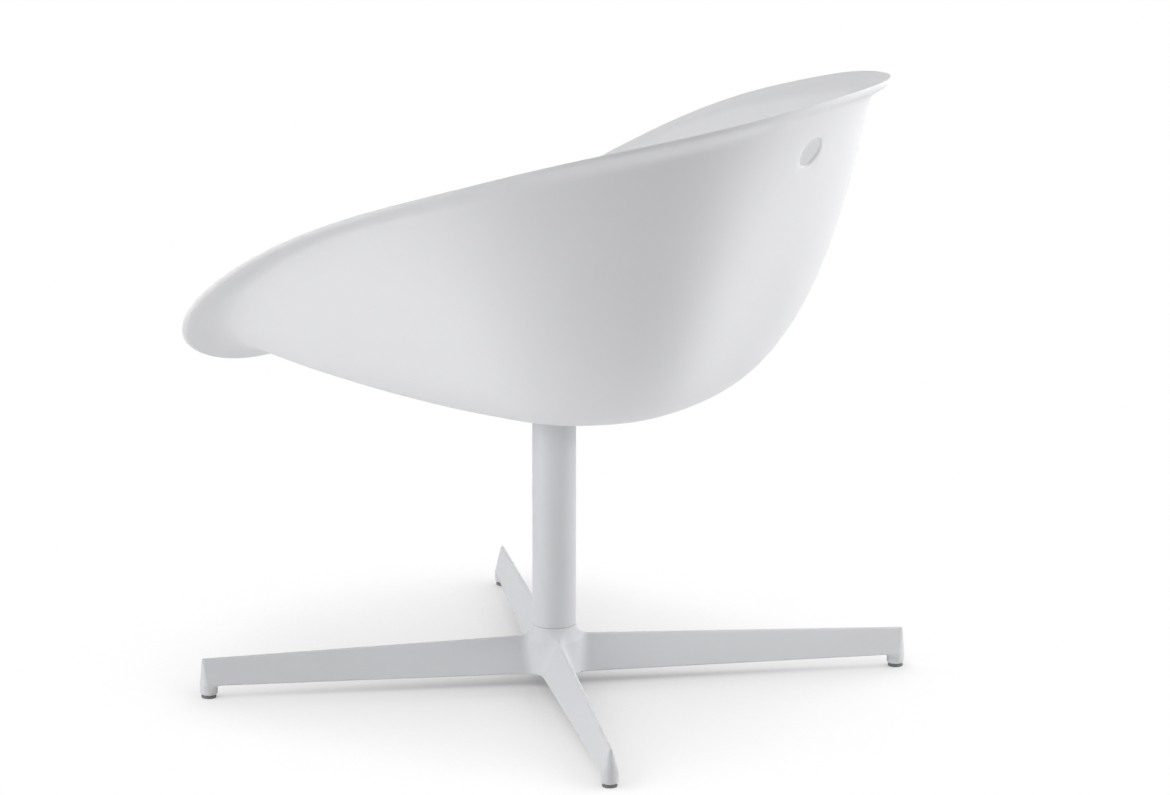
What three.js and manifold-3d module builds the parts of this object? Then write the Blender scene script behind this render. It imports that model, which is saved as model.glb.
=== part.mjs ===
// Pedestal swivel lounge chair: a thin moulded plastic tub with a flared rim, turning on a steel
// spindle in a painted column that stands on a four-leg die-cast base.
// Millimetres, +Z up. The origin is on the swivel axis at the floor and the seat faces -Y.
import * as THREE from "three";
import { mergeVertices } from "three/addons/utils/BufferGeometryUtils.js";
import Module from "manifold-3d";

const wasm = await Module();
wasm.setup();

// Fits shared by all pieces
const seatGap = 0.3; // between faces that rest on each other
const boreGap = 0.3; // on the radius, round a pin, stem or shank
const overrun = 2; // how far a cutter passes the face that it opens
const weldDistance = 1e-4; // points closer than this are one point

// Seat shell: the rim seen from above and from the side, at equal steps from back to front
const rimReach = 384; // swivel axis to the rim, at the back and at the front
const rimReachShares = [1, 0.97, 0.916, 0.892, 0.911, 0.957, 1.018, 1.051, 1.033, 1];
const backHeight = 713;
const frontHeight = 317;
const rimHeightShares = [1, 0.974, 0.92, 0.851, 0.76, 0.636, 0.45, 0.237, 0.063, 0];

// Seat shell: the flared lip that runs all round, widest at the front edge
const lipReach = 68;
const lipReachShares = [0.458, 0.362, 0.299, 0.279, 0.337, 0.462, 0.628, 0.817, 0.981, 1];
const lipDrop = 28;
const lipDropShares = [0.907, 1.013, 1.01, 0.94, 0.775, 0.543, 0.317, -0.02, -0.346, -0.465];
const lipSlopeDegrees = [50, 50, 46, 40, 31, 19.5, 6, -11, -32, -41];
const lipBendShare = 0.36;
const lipEdge = 3.4; // the wall's thickness at the rim, where the inside ends in a crisp edge
const rimRounding = 7.5; // radius of the rim's outer side

// Seat shell: the body below the lip
const seatUnderside = 324;
const bodyLeanDegrees = [20.7, 13.7, 9.5, 13.3, 24, 37, 50.5, 62.5, 71, 73];
const seatRunShares = [0.515, 0.403, 0.326, 0.338, 0.366, 0.429, 0.48, 0.538, 0.557, 0.554];
const backRunShares = [0.8, 0.805, 0.8, 0.755, 0.642, 0.525, 0.41, 0.331, 0.282, 0.268];
const shellWall = 5;
const shellStations = 64;
const bodySteps = 10;
const lipSteps = 5;
const edgeSteps = 3;

// Seat shell: the round hole high in the back
const holeDiameter = 34;
const holeBelowRim = 69.6;
const holeRounding = 2.2;

// Seat shell: the ribbed pad under the seat that the mounting plate is screwed to
const padRadius = 77; // the flat under the seat
const padHeight = 5;
const padRib = 3;
const padCore = 16;
const padRibs = 8;
const bossRadius = 10;
const bossFloor = 2; // plastic left above an insert

// Seat mounting: plate, screws and threaded inserts
const plateRadius = 70;
const plateThickness = 5;
const plateChamfer = 1;
const screwCount = 4;
const screwCircle = 54; // radius of the screw circle
const screwDiameter = 6;
const screwHead = 12;
const screwHeadDepth = 3.3;
const screwSocket = 4; // across the flats
const screwSocketDepth = 2;
const insertDiameter = 9.5;
const insertGroove = 1; // wide, and half as deep

// Column and swivel
const columnDiameter = 48;
const columnWall = 2.5;
const columnTop = 298;
const flangeThickness = 2.5;
const thrustThickness = 2;
const spindleDiameter = 25;
const spindleSpigot = 20;
const spindleBottom = 120;
const spindleChamfer = 1.5;
const upperBushLength = 42;
const lowerBushLength = 34;
const lowerBushBottom = 136;
const washerThickness = 2;
const washerReach = 6.5; // past the spindle
const ringThickness = 1.6;
const ringReach = 3.2; // past the spindle
const grooveDepth = 1.4;
const ringGapDegrees = 52;
const grooveGap = 0.2; // groove wider than its ring, on each side

// Star base: hub
const hubTop = 67;
const hubRadius = 27.5;
const hubShoulder = 50; // where the hub starts to draw in to the column
const hubFillet = 11; // between the hub and a leg's face
const hubSpigotHeight = 5;
const hubPocketRadius = 15;
const hubDeck = 13; // metal under the column

// Star base: legs
const legCount = 4;
const legUnderside = 15;
const legRidgeAtHub = 55;
const legRidgeAtTip = 44.5;
const ridgeFillet = 15; // where the ridge sweeps up to the column
const legHalfWidthAtHub = 18.7;
const ridgeRounding = 1.6;
const footCircle = 382; // radius that the feet stand on
const footRadius = 9.7;
const tipRake = 7.4; // how far the top of the tip stands outside the foot's centre
const footChamferReach = 1.4;
const footChamferHeight = 2.6;
const footFillet = 4.5;
const legWall = 3.4;
const legRibs = 5;
const legRib = 3;
const pocketStart = 42;
const pocketRoof = 8; // metal under the ridge

// Column fixing inside the base
const plugHeight = 20;
const boltDiameter = 10;
const boltReach = 14; // into the plug
const boltHeadFlats = 17;
const boltHeadHeight = 6.4;
const baseWasherRadius = 11.5;
const baseWasherThickness = 2;

// Glides
const glideThickness = 3.2;
const glideRadius = 8.2;
const glideChamfer = 0.8;
const glideStem = 7;
const glideStemLength = 14;

// Sizes that follow from the above
const footBottom = glideThickness + seatGap;
const columnRadius = columnDiameter / 2;
const columnBore = columnRadius - columnWall;
const shaftRadius = spindleDiameter / 2;
const flangeBottom = columnTop + seatGap;
const flangeTop = flangeBottom + flangeThickness;
const thrustBottom = flangeTop + seatGap;
const thrustTop = thrustBottom + thrustThickness;
const padBottom = seatUnderside - padHeight;
const plateTop = padBottom - seatGap;
const plateBottom = plateTop - plateThickness;
const insertTop = seatUnderside + shellWall - bossFloor - seatGap;
const rimTurn = Math.acos(1 - lipEdge / rimRounding); // angle that the rim's rounding takes up
const screwTop = insertTop - seatGap;

// Finishes
function finish(color, roughness, metalness) {
  return new THREE.MeshStandardMaterial({ color, roughness, metalness });
}
const whitePlastic = () => finish(0xf2f2f3, 0.42, 0);
const whitePaint = () => finish(0xe9e9ec, 0.55, 0);
const steel = () => finish(0x9c9ea1, 0.35, 1);
const zinc = () => finish(0xb9bcc0, 0.4, 1);
const brass = () => finish(0xb99a4e, 0.35, 1);
const nylon = () => finish(0xe4e2da, 0.6, 0);
const acetal = () => finish(0x3a3b3d, 0.5, 0);
const greyRubber = () => finish(0x6f7173, 0.75, 0);

// Solids to cut and join with
function solidOf(geometry) {
  const bare = new THREE.BufferGeometry();
  bare.setAttribute("position", geometry.getAttribute("position"));
  if (geometry.index) bare.setIndex(geometry.index);
  const merged = mergeVertices(bare, weldDistance);
  const vertProperties = new Float32Array(merged.getAttribute("position").array);
  const triVerts = new Uint32Array(merged.index.array);
  return new wasm.Manifold(new wasm.Mesh({ numProp: 3, vertProperties, triVerts }));
}

function geometryOf(solid) {
  const mesh = solid.getMesh();
  const geometry = new THREE.BufferGeometry();
  geometry.setAttribute("position", new THREE.BufferAttribute(mesh.vertProperties, mesh.numProp));
  geometry.setIndex(new THREE.BufferAttribute(mesh.triVerts, 1));
  const flat = geometry.toNonIndexed();
  flat.computeVertexNormals();
  return flat;
}

function join(solids) {
  return solids.reduce((whole, solid) => whole.add(solid));
}

function cut(solid, cutters) {
  return cutters.reduce((rest, cutter) => rest.subtract(cutter), solid);
}

// Turned about +Z from a list of [radius, height] that starts and ends on the axis or closes on itself
function turned(outline, segments) {
  const points = outline.map(([radius, height]) => new THREE.Vector2(radius, height));
  const geometry = new THREE.LatheGeometry(points, segments);
  return geometry.rotateX(Math.PI / 2);
}

function turnedTube(outer, inner, bottom, top, segments) {
  const outline = [[inner, bottom], [outer, bottom], [outer, top], [inner, top], [inner, bottom]];
  return turned(outline, segments);
}

function turnedRod(radius, bottom, top, segments) {
  return turned([[0, bottom], [radius, bottom], [radius, top], [0, top]], segments);
}

// An outline in plan, raised from bottom to top
function raised(shape, bottom, top) {
  const geometry = new THREE.ExtrudeGeometry(shape, { depth: top - bottom, bevelEnabled: false });
  return geometry.translate(0, 0, bottom);
}

function barShape(length, width) {
  const shape = new THREE.Shape();
  shape.moveTo(0, -width / 2);
  shape.lineTo(length, -width / 2);
  shape.lineTo(length, width / 2);
  shape.lineTo(0, width / 2);
  return shape;
}

// A skin over rings of equal length, each closed, with both ends closed by strips
function loft(rings) {
  const count = rings[0].length;
  const positions = rings.flat().flatMap((point) => [point.x, point.y, point.z]);
  const faces = [];
  const strip = (first, flip) => {
    for (let i = 0; i + 1 < count - 1 - i; i += 1) {
      const [a, b, c, d] = [i, i + 1, count - 2 - i, count - 1 - i].map((k) => k + first);
      faces.push(...(flip ? [a, d, b] : [a, b, d]));
      if (b !== c) faces.push(...(flip ? [b, d, c] : [b, c, d]));
    }
  };
  for (let ring = 0; ring + 1 < rings.length; ring += 1) {
    for (let i = 0; i < count; i += 1) {
      const next = (i + 1) % count;
      const [a, b] = [ring * count + i, ring * count + next];
      faces.push(a, b, b + count, a, b + count, a + count);
    }
  }
  strip(0, true);
  strip((rings.length - 1) * count, false);
  const geometry = new THREE.BufferGeometry();
  geometry.setAttribute("position", new THREE.Float32BufferAttribute(positions, 3));
  geometry.setIndex(faces);
  return geometry;
}

function hexagonShape(flats) {
  const shape = new THREE.Shape();
  const corner = flats / Math.sqrt(3);
  for (let i = 0; i < 6; i += 1) {
    const angle = (i * Math.PI) / 3;
    const [x, y] = [corner * Math.cos(angle), corner * Math.sin(angle)];
    if (i === 0) shape.moveTo(x, y);
    else shape.lineTo(x, y);
  }
  shape.closePath();
  return shape;
}

function named(name, geometry, material) {
  const mesh = new THREE.Mesh(geometry, material);
  mesh.name = name;
  return mesh;
}

// A smooth wave, even about the chair's middle plane, through values at equal steps from back to front
function waveThrough(values) {
  const last = values.length - 1;
  const endShare = (i) => (i === 0 || i === last ? 0.5 : 1);
  const weights = values.map((unused, k) => {
    const terms = values.map((value, i) => endShare(i) * value * Math.cos((Math.PI * i * k) / last));
    const sum = terms.reduce((total, term) => total + term);
    return (2 * endShare(k) * sum) / last;
  });
  return (angle) => weights.reduce((total, weight, k) => total + weight * Math.cos(k * angle), 0);
}

const rimReachAt = waveThrough(rimReachShares);
const rimHeightAt = waveThrough(rimHeightShares);
const lipReachAt = waveThrough(lipReachShares);
const lipDropAt = waveThrough(lipDropShares);
const lipSlopeAt = waveThrough(lipSlopeDegrees);
const bodyLeanAt = waveThrough(bodyLeanDegrees);
const seatRunAt = waveThrough(seatRunShares);
const backRunAt = waveThrough(backRunShares);

// The shell's wall at one angle round the axis, as curves of the outer skin and the centre of the rim's
// rounding
function shellSection(angle) {
  const slope = THREE.MathUtils.degToRad(lipSlopeAt(angle));
  const lean = THREE.MathUtils.degToRad(bodyLeanAt(angle));
  const outward = new THREE.Vector2(Math.cos(slope), Math.sin(slope));
  const downward = new THREE.Vector2(Math.sin(slope), -Math.cos(slope));
  const upward = new THREE.Vector2(Math.sin(lean), Math.cos(lean));
  const rimHeight = frontHeight + (backHeight - frontHeight) * rimHeightAt(angle);
  const rim = new THREE.Vector2(rimReach * rimReachAt(angle), rimHeight);
  const lipEnd = rim.clone().addScaledVector(downward, lipEdge);
  lipEnd.addScaledVector(outward, -rimRounding * Math.sin(rimTurn));
  const rimCentre = lipEnd.clone().addScaledVector(downward, -rimRounding);
  const root = new THREE.Vector2(lipReach * lipReachAt(angle), lipDrop * lipDropAt(angle));
  root.subVectors(rim, root);
  const flat = new THREE.Vector2(padRadius, seatUnderside);
  const run = (root.x - flat.x) * seatRunAt(angle);
  const rise = root.distanceTo(flat) * backRunAt(angle);
  const bend = root.distanceTo(lipEnd) * lipBendShare;
  const seatControl = new THREE.Vector2(flat.x + run, flat.y);
  const backControl = root.clone().addScaledVector(upward, -rise);
  const lipControl = root.clone().addScaledVector(upward, bend);
  const endControl = lipEnd.clone().addScaledVector(outward, -bend);
  const body = new THREE.CubicBezierCurve(flat, seatControl, backControl, root);
  const lip = new THREE.CubicBezierCurve(root, lipControl, endControl, lipEnd);
  return { body, lip, rimCentre, slope };
}

// The point of a skin that lies a wall's thickness inside a curve
function insidePoint(curve, share, wall) {
  const tangent = curve.getTangent(share);
  const point = curve.getPoint(share);
  return new THREE.Vector2(point.x - tangent.y * wall, point.y + tangent.x * wall);
}

// The closed wall at one angle, from the underside round the rim to the inside of the seat
function shellProfile(angle) {
  const { body, lip, rimCentre, slope } = shellSection(angle);
  const lipWall = (share) => shellWall + (lipEdge - shellWall) * share;
  const under = body.getPoints(bodySteps).concat(lip.getPoints(lipSteps).slice(1));
  const round = [];
  for (let i = 1; i <= edgeSteps; i += 1) {
    const turn = slope - Math.PI / 2 + (rimTurn * i) / edgeSteps;
    const way = new THREE.Vector2(Math.cos(turn), Math.sin(turn));
    round.push(rimCentre.clone().addScaledVector(way, rimRounding));
  }
  const inside = [];
  for (let i = lipSteps; i > 0; i -= 1) {
    inside.push(insidePoint(lip, i / lipSteps, lipWall(i / lipSteps)));
  }
  for (let i = bodySteps; i >= 0; i -= 1) {
    inside.push(insidePoint(body, i / bodySteps, shellWall));
  }
  return under.concat(round, inside);
}

function shellWallSolid() {
  const profiles = [];
  for (let i = 0; i < shellStations; i += 1) {
    const angle = (2 * Math.PI * i) / shellStations;
    const place = (point) => {
      return new THREE.Vector3(point.x * Math.sin(angle), point.x * Math.cos(angle), point.y);
    };
    profiles.push(shellProfile(angle).map(place).reverse());
  }
  const rings = profiles[0].map((unused, j) => profiles.map((profile) => profile[j]));
  return solidOf(loft(rings));
}

// The hole's place on the back's outer skin, and how far the back leans there
function holePlace() {
  const { body } = shellSection(0);
  const height = backHeight - holeBelowRim;
  const halvings = 20;
  let [low, high] = [0, 1];
  for (let i = 0; i < halvings; i += 1) {
    const middle = (low + high) / 2;
    if (body.getPoint(middle).y < height) low = middle;
    else high = middle;
  }
  const tangent = body.getTangent(low);
  return { at: body.getPoint(low), lean: Math.atan2(tangent.x, tangent.y) };
}

// The cutter for the back hole, with rounded rims on both faces of the wall
function holeCutter() {
  const { at, lean } = holePlace();
  const radius = holeDiameter / 2;
  const wide = radius + holeRounding;
  const steps = 2;
  const outline = [[0, -overrun - shellWall], [wide, -overrun - shellWall]];
  for (let i = 0; i <= steps; i += 1) {
    const turn = (Math.PI * i) / (2 * steps);
    outline.push([wide - holeRounding * Math.sin(turn), -shellWall + holeRounding * (1 - Math.cos(turn))]);
  }
  for (let i = steps; i >= 0; i -= 1) {
    const turn = (Math.PI * i) / (2 * steps);
    outline.push([wide - holeRounding * Math.sin(turn), -holeRounding * (1 - Math.cos(turn))]);
  }
  outline.push([wide, overrun], [0, overrun]);
  const geometry = turned(outline, 24);
  geometry.rotateX(-Math.PI / 2 - lean);
  geometry.translate(0, at.x, at.y);
  return solidOf(geometry);
}

function aroundScrews(makeOne) {
  const made = [];
  for (let i = 0; i < screwCount; i += 1) {
    const angle = ((i + 0.5) * 2 * Math.PI) / screwCount;
    const geometry = makeOne();
    made.push(geometry.translate(screwCircle * Math.cos(angle), screwCircle * Math.sin(angle), 0));
  }
  return made;
}

function padSolids() {
  const into = seatUnderside + shellWall / 2;
  const outerRing = turnedTube(plateRadius, plateRadius - padRib, padBottom, into, 40);
  const core = turnedTube(padCore, padCore - padRib, padBottom, into, 24);
  const bosses = aroundScrews(() => turnedRod(bossRadius, padBottom, into, 16));
  const ribs = [];
  for (let i = 0; i < padRibs; i += 1) {
    const angle = (i * 2 * Math.PI) / padRibs;
    const start = padCore - padRib / 2;
    const bar = raised(barShape(plateRadius - padRib / 2 - start, padRib), padBottom, into);
    ribs.push(bar.translate(start, 0, 0).rotateZ(angle));
  }
  return [outerRing, core, ...bosses, ...ribs].map(solidOf);
}

function seatShell() {
  const radius = insertDiameter / 2 + boreGap;
  const top = insertTop + seatGap;
  const sockets = aroundScrews(() => turnedRod(radius, padBottom - overrun, top, 12));
  const whole = join([shellWallSolid(), ...padSolids()]);
  return geometryOf(cut(whole, [holeCutter(), ...sockets.map(solidOf)]));
}

function insert() {
  const bore = screwDiameter / 2 + boreGap;
  const body = turnedTube(insertDiameter / 2, bore, padBottom, insertTop, 12);
  const waist = (padBottom + insertTop) / 2;
  const floor = (insertDiameter - insertGroove) / 2;
  const half = insertGroove / 2;
  const groove = turnedTube(insertDiameter, floor, waist - half, waist + half, 12);
  return geometryOf(solidOf(body).subtract(solidOf(groove)));
}

function plateScrew() {
  const headBottom = plateBottom;
  const head = screwHead / 2;
  const shank = screwDiameter / 2;
  const outline = [[0, headBottom], [head, headBottom], [shank, headBottom + screwHeadDepth],
    [shank, screwTop], [0, screwTop]];
  const socket = raised(hexagonShape(screwSocket), headBottom - overrun, headBottom + screwSocketDepth);
  return geometryOf(solidOf(turned(outline, 16)).subtract(solidOf(socket)));
}

function seatPlate() {
  const outline = [[spindleSpigot / 2 + boreGap, plateBottom], [plateRadius - plateChamfer, plateBottom],
    [plateRadius, plateBottom + plateChamfer], [plateRadius, plateTop],
    [spindleSpigot / 2 + boreGap, plateTop], [spindleSpigot / 2 + boreGap, plateBottom]];
  const head = screwHead / 2 + boreGap;
  const shank = screwDiameter / 2 + boreGap;
  const sink = [[0, plateBottom - overrun], [head, plateBottom - overrun], [head, plateBottom],
    [shank, plateBottom + screwHeadDepth], [shank, plateTop + overrun], [0, plateTop + overrun]];
  const sinks = aroundScrews(() => turned(sink, 16)).map(solidOf);
  return geometryOf(cut(solidOf(turned(outline, 48)), sinks));
}

// Swivel pieces, all turned about the axis
const ringTop = lowerBushBottom - seatGap - washerThickness - seatGap;
const ringBottom = ringTop - ringThickness;

function spindle() {
  const collarBottom = thrustTop + seatGap;
  const collarTop = plateBottom - seatGap;
  const grooveFloor = shaftRadius - grooveDepth;
  const outline = [[0, spindleBottom], [shaftRadius - spindleChamfer, spindleBottom],
    [shaftRadius, spindleBottom + spindleChamfer], [shaftRadius, ringBottom - grooveGap],
    [grooveFloor, ringBottom - grooveGap], [grooveFloor, ringTop + grooveGap],
    [shaftRadius, ringTop + grooveGap], [shaftRadius, collarBottom], [columnRadius, collarBottom],
    [columnRadius, collarTop], [spindleSpigot / 2, collarTop], [spindleSpigot / 2, plateTop], [0, plateTop]];
  return turned(outline, 32);
}

function upperBush() {
  const inner = shaftRadius + boreGap;
  const outer = columnBore - boreGap;
  const bottom = flangeTop - upperBushLength;
  const outline = [[inner, bottom], [outer, bottom], [outer, flangeBottom], [columnRadius, flangeBottom],
    [columnRadius, flangeTop], [inner, flangeTop], [inner, bottom]];
  return turned(outline, 32);
}

function lowerBush() {
  const top = lowerBushBottom + lowerBushLength;
  return turnedTube(columnBore - boreGap, shaftRadius + boreGap, lowerBushBottom, top, 32);
}

function thrustWasher() {
  return turnedTube(columnRadius, shaftRadius + boreGap, thrustBottom, thrustTop, 32);
}

function retainingWasher() {
  const top = lowerBushBottom - seatGap;
  return turnedTube(shaftRadius + washerReach, shaftRadius + boreGap, top - washerThickness, top, 28);
}

// An open ring that snaps into the spindle's groove
function retainingRing() {
  const inner = shaftRadius - grooveDepth + boreGap;
  const outer = shaftRadius + ringReach;
  const gapAngle = THREE.MathUtils.degToRad(ringGapDegrees / 2);
  const shape = new THREE.Shape();
  shape.absarc(0, 0, outer, gapAngle, 2 * Math.PI - gapAngle, false);
  shape.absarc(0, 0, inner, 2 * Math.PI - gapAngle, gapAngle, true);
  shape.closePath();
  const options = { depth: ringThickness, bevelEnabled: false, curveSegments: 12 };
  return new THREE.ExtrudeGeometry(shape, options).translate(0, 0, ringBottom);
}

// Column
function columnTube() {
  return turnedTube(columnRadius, columnBore, hubTop + seatGap, columnTop, 48);
}

const spigotTop = hubTop + hubSpigotHeight;

function columnPlug() {
  const bottom = spigotTop + seatGap;
  return turnedTube(columnBore - boreGap, boltDiameter / 2 + boreGap, bottom, bottom + plugHeight, 24);
}

// Star base: how high a leg's ridge lies at a distance from the axis, with its sweep up to the column
function ridgeHeight(reach) {
  const tip = footCircle + tipRake;
  const share = THREE.MathUtils.clamp((reach - hubRadius) / (tip - hubRadius), 0, 1);
  const straight = THREE.MathUtils.lerp(legRidgeAtHub, legRidgeAtTip, share);
  const sweepEnd = columnRadius + ridgeFillet;
  if (reach >= sweepEnd) return straight;
  const inShare = THREE.MathUtils.clamp((sweepEnd - reach) / ridgeFillet, 0, 1);
  return straight + (hubTop - straight) * (1 - Math.sqrt(1 - inShare * inShare));
}

// One level of a leg in plan: out along one side, round the tip and back, with the hub's fillet
function legOutline(halfWidthAtHub, tipRadius, tipCentre) {
  const reach = hubRadius + hubFillet;
  const across = halfWidthAtHub + hubFillet;
  const along = Math.sqrt(reach * reach - across * across);
  const side = [[0, (hubRadius * across) / reach]];
  const from = Math.atan2(across, along);
  const filletSteps = 4;
  for (let i = 0; i <= filletSteps; i += 1) {
    const turn = Math.PI + from + ((Math.PI / 2 - from) * i) / filletSteps;
    side.push([along + hubFillet * Math.cos(turn), across + hubFillet * Math.sin(turn)]);
  }
  const start = along;
  const sweepEnd = columnRadius + ridgeFillet;
  const taperTo = (x) => {
    return THREE.MathUtils.lerp(halfWidthAtHub, tipRadius, (x - start) / (tipCentre - start));
  };
  for (const x of [sweepEnd, (sweepEnd + tipCentre) / 2]) {
    side.push([x, taperTo(x)]);
  }
  const tipSteps = 8;
  const tip = [];
  for (let i = 0; i <= tipSteps; i += 1) {
    const turn = Math.PI / 2 - (Math.PI * i) / tipSteps;
    tip.push([tipCentre + tipRadius * Math.cos(turn), tipRadius * Math.sin(turn)]);
  }
  const back = side.map(([x, y]) => [x, -y]).reverse();
  return side.concat(tip, back);
}

const tipTopCentre = footCircle + tipRake - ridgeRounding;

function legBlade() {
  const bottom = legOutline(legHalfWidthAtHub, footRadius, footCircle);
  const shoulder = legOutline(ridgeRounding, ridgeRounding, tipTopCentre);
  const crest = legOutline(ridgeRounding / 2, ridgeRounding / 2, tipTopCentre);
  const onRidge = (outline, below) => {
    return outline.map(([x, y]) => new THREE.Vector3(x, y, ridgeHeight(x) - below));
  };
  const rings = [bottom.map(([x, y]) => new THREE.Vector3(x, y, legUnderside)),
    onRidge(shoulder, ridgeRounding), onRidge(crest, 0)];
  return solidOf(loft(rings.reverse()));
}

// The foot: a round post with a chamfer at the floor and a fillet up to the leg's underside
function footPost() {
  const outline = [[0, footBottom], [footRadius - footChamferReach, footBottom],
    [footRadius, footBottom + footChamferHeight]];
  const steps = 3;
  for (let i = 0; i <= steps; i += 1) {
    const turn = (Math.PI * i) / (2 * steps);
    const radius = footRadius + footFillet * (1 - Math.cos(turn));
    outline.push([radius, legUnderside - footFillet * (1 - Math.sin(turn))]);
  }
  const into = legUnderside + overrun;
  outline.push([footRadius + footFillet, into], [0, into]);
  const post = solidOf(turned(outline, 16).translate(footCircle, 0, 0));
  const shape = new THREE.Shape();
  legOutline(legHalfWidthAtHub, footRadius, footCircle).forEach(([x, y], i) => {
    if (i === 0) shape.moveTo(x, y);
    else shape.lineTo(x, y);
  });
  shape.closePath();
  return post.intersect(solidOf(raised(shape, 0, into)));
}

// One tapered pocket under a leg, between two ribs
function legPocket(from, to) {
  const start = Math.sqrt((hubRadius + hubFillet) ** 2 - (legHalfWidthAtHub + hubFillet) ** 2);
  const halfWidth = (x) => {
    const share = (x - start) / (footCircle - start);
    return THREE.MathUtils.lerp(legHalfWidthAtHub, footRadius, share) - legWall;
  };
  const roof = (x) => ridgeHeight(x) - pocketRoof;
  const ring = (share) => {
    const section = (x) => {
      const depth = roof(x) - legUnderside;
      const z = legUnderside - overrun + (depth + overrun) * share;
      const lowWidth = halfWidth(x);
      const highWidth = lowWidth * (1 - depth / (ridgeHeight(x) - legUnderside));
      return [z, THREE.MathUtils.lerp(lowWidth, highWidth, share)];
    };
    const [zNear, widthNear] = section(from);
    const [zFar, widthFar] = section(to);
    return [new THREE.Vector3(from, widthNear, zNear), new THREE.Vector3(to, widthFar, zFar),
      new THREE.Vector3(to, -widthFar, zFar), new THREE.Vector3(from, -widthNear, zNear)];
  };
  return solidOf(loft([ring(1), ring(0)]));
}

function legPockets() {
  const end = footCircle - footRadius - footFillet;
  const pitch = (end - pocketStart + legRib) / legRibs;
  const pockets = [];
  for (let i = 0; i < legRibs; i += 1) {
    const from = pocketStart + i * pitch;
    pockets.push(legPocket(from, from + pitch - legRib));
  }
  return pockets;
}

function hubCore() {
  const neck = new THREE.QuadraticBezierCurve(
    new THREE.Vector2(hubRadius, hubShoulder),
    new THREE.Vector2(columnRadius, (hubShoulder + hubTop) / 2),
    new THREE.Vector2(columnRadius, hubTop),
  );
  const spigot = columnBore - boreGap;
  const flare = neck.getPoints(6).map((point) => [point.x, point.y]);
  const outline = [[0, legUnderside], [hubRadius, legUnderside], ...flare, [spigot, hubTop],
    [spigot, spigotTop], [0, spigotTop]];
  return solidOf(turned(outline, 40));
}

function starBase() {
  const stemRadius = glideStem / 2 + boreGap;
  const stemTop = footBottom + glideStemLength + seatGap;
  const stemHole = turnedRod(stemRadius, footBottom - overrun, stemTop, 12);
  const socket = solidOf(stemHole.translate(footCircle, 0, 0));
  const leg = cut(join([legBlade(), footPost()]), [...legPockets(), socket]);
  const legs = [];
  for (let i = 0; i < legCount; i += 1) {
    const degrees = ((i + 0.5) * 360) / legCount;
    legs.push(leg.rotate([0, 0, degrees]));
  }
  const deckBottom = hubTop - hubDeck;
  const pocket = solidOf(turnedRod(hubPocketRadius, legUnderside - overrun, deckBottom, 24));
  const boltHole = solidOf(turnedRod(boltDiameter / 2 + boreGap, legUnderside, spigotTop + overrun, 16));
  return geometryOf(cut(join([hubCore(), ...legs]), [pocket, boltHole]));
}

function baseBolt() {
  const washerBottom = hubTop - hubDeck - seatGap - baseWasherThickness;
  const headTop = washerBottom - seatGap;
  const shankTop = spigotTop + seatGap + boltReach;
  const head = solidOf(raised(hexagonShape(boltHeadFlats), headTop - boltHeadHeight, headTop));
  const shank = solidOf(turnedRod(boltDiameter / 2, headTop - boltHeadHeight / 2, shankTop, 16));
  return geometryOf(head.add(shank));
}

function baseWasher() {
  const top = hubTop - hubDeck - seatGap;
  return turnedTube(baseWasherRadius, boltDiameter / 2 + boreGap, top - baseWasherThickness, top, 24);
}

function glide() {
  const stem = glideStem / 2;
  const outline = [[0, 0], [glideRadius - glideChamfer, 0], [glideRadius, glideChamfer],
    [glideRadius, glideThickness], [stem, glideThickness], [stem, footBottom + glideStemLength],
    [0, footBottom + glideStemLength]];
  return turned(outline, 16);
}

// The chair
const chair = new THREE.Group();

const seat = new THREE.Group();
seat.add(named("seat_shell", seatShell(), whitePlastic()));
seat.add(named("seat_plate", seatPlate(), steel()));
seat.add(named("spindle", spindle(), steel()));
for (let i = 0; i < screwCount; i += 1) {
  const angle = ((i + 0.5) * 2 * Math.PI) / screwCount;
  const place = [screwCircle * Math.cos(angle), screwCircle * Math.sin(angle), 0];
  const threaded = named(`shell_insert_${i + 1}`, insert(), brass());
  const screw = named(`plate_screw_${i + 1}`, plateScrew(), zinc());
  threaded.position.set(...place);
  screw.position.set(...place);
  seat.add(threaded, screw);
}
seat.add(named("retaining_washer", retainingWasher(), zinc()));
seat.add(named("retaining_ring", retainingRing(), steel()));
chair.add(seat);

const stand = new THREE.Group();
stand.add(named("column_tube", columnTube(), whitePaint()));
stand.add(named("column_plug", columnPlug(), steel()));
stand.add(named("upper_bush", upperBush(), nylon()));
stand.add(named("lower_bush", lowerBush(), nylon()));
stand.add(named("thrust_washer", thrustWasher(), acetal()));
stand.add(named("star_base", starBase(), whitePaint()));
stand.add(named("base_washer", baseWasher(), zinc()));
stand.add(named("base_bolt", baseBolt(), zinc()));
for (let i = 0; i < legCount; i += 1) {
  const angle = ((i + 0.5) * 2 * Math.PI) / legCount;
  const foot = named(`glide_${i + 1}`, glide(), greyRubber());
  foot.position.set(footCircle * Math.cos(angle), footCircle * Math.sin(angle), 0);
  stand.add(foot);
}
chair.add(stand);

export default chair;
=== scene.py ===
"""A white pedestal swivel lounge chair, dressed round its CAD frame for a studio photograph.

Sizes are in millimetres in the CAD frame, +Z up with the seat facing -Y, until a mesh is made.
"""

import logging
import math
from dataclasses import dataclass, field
from enum import Enum
from typing import Callable, Sequence

import bpy
import numpy as np
from mathutils import Matrix, Vector


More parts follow.
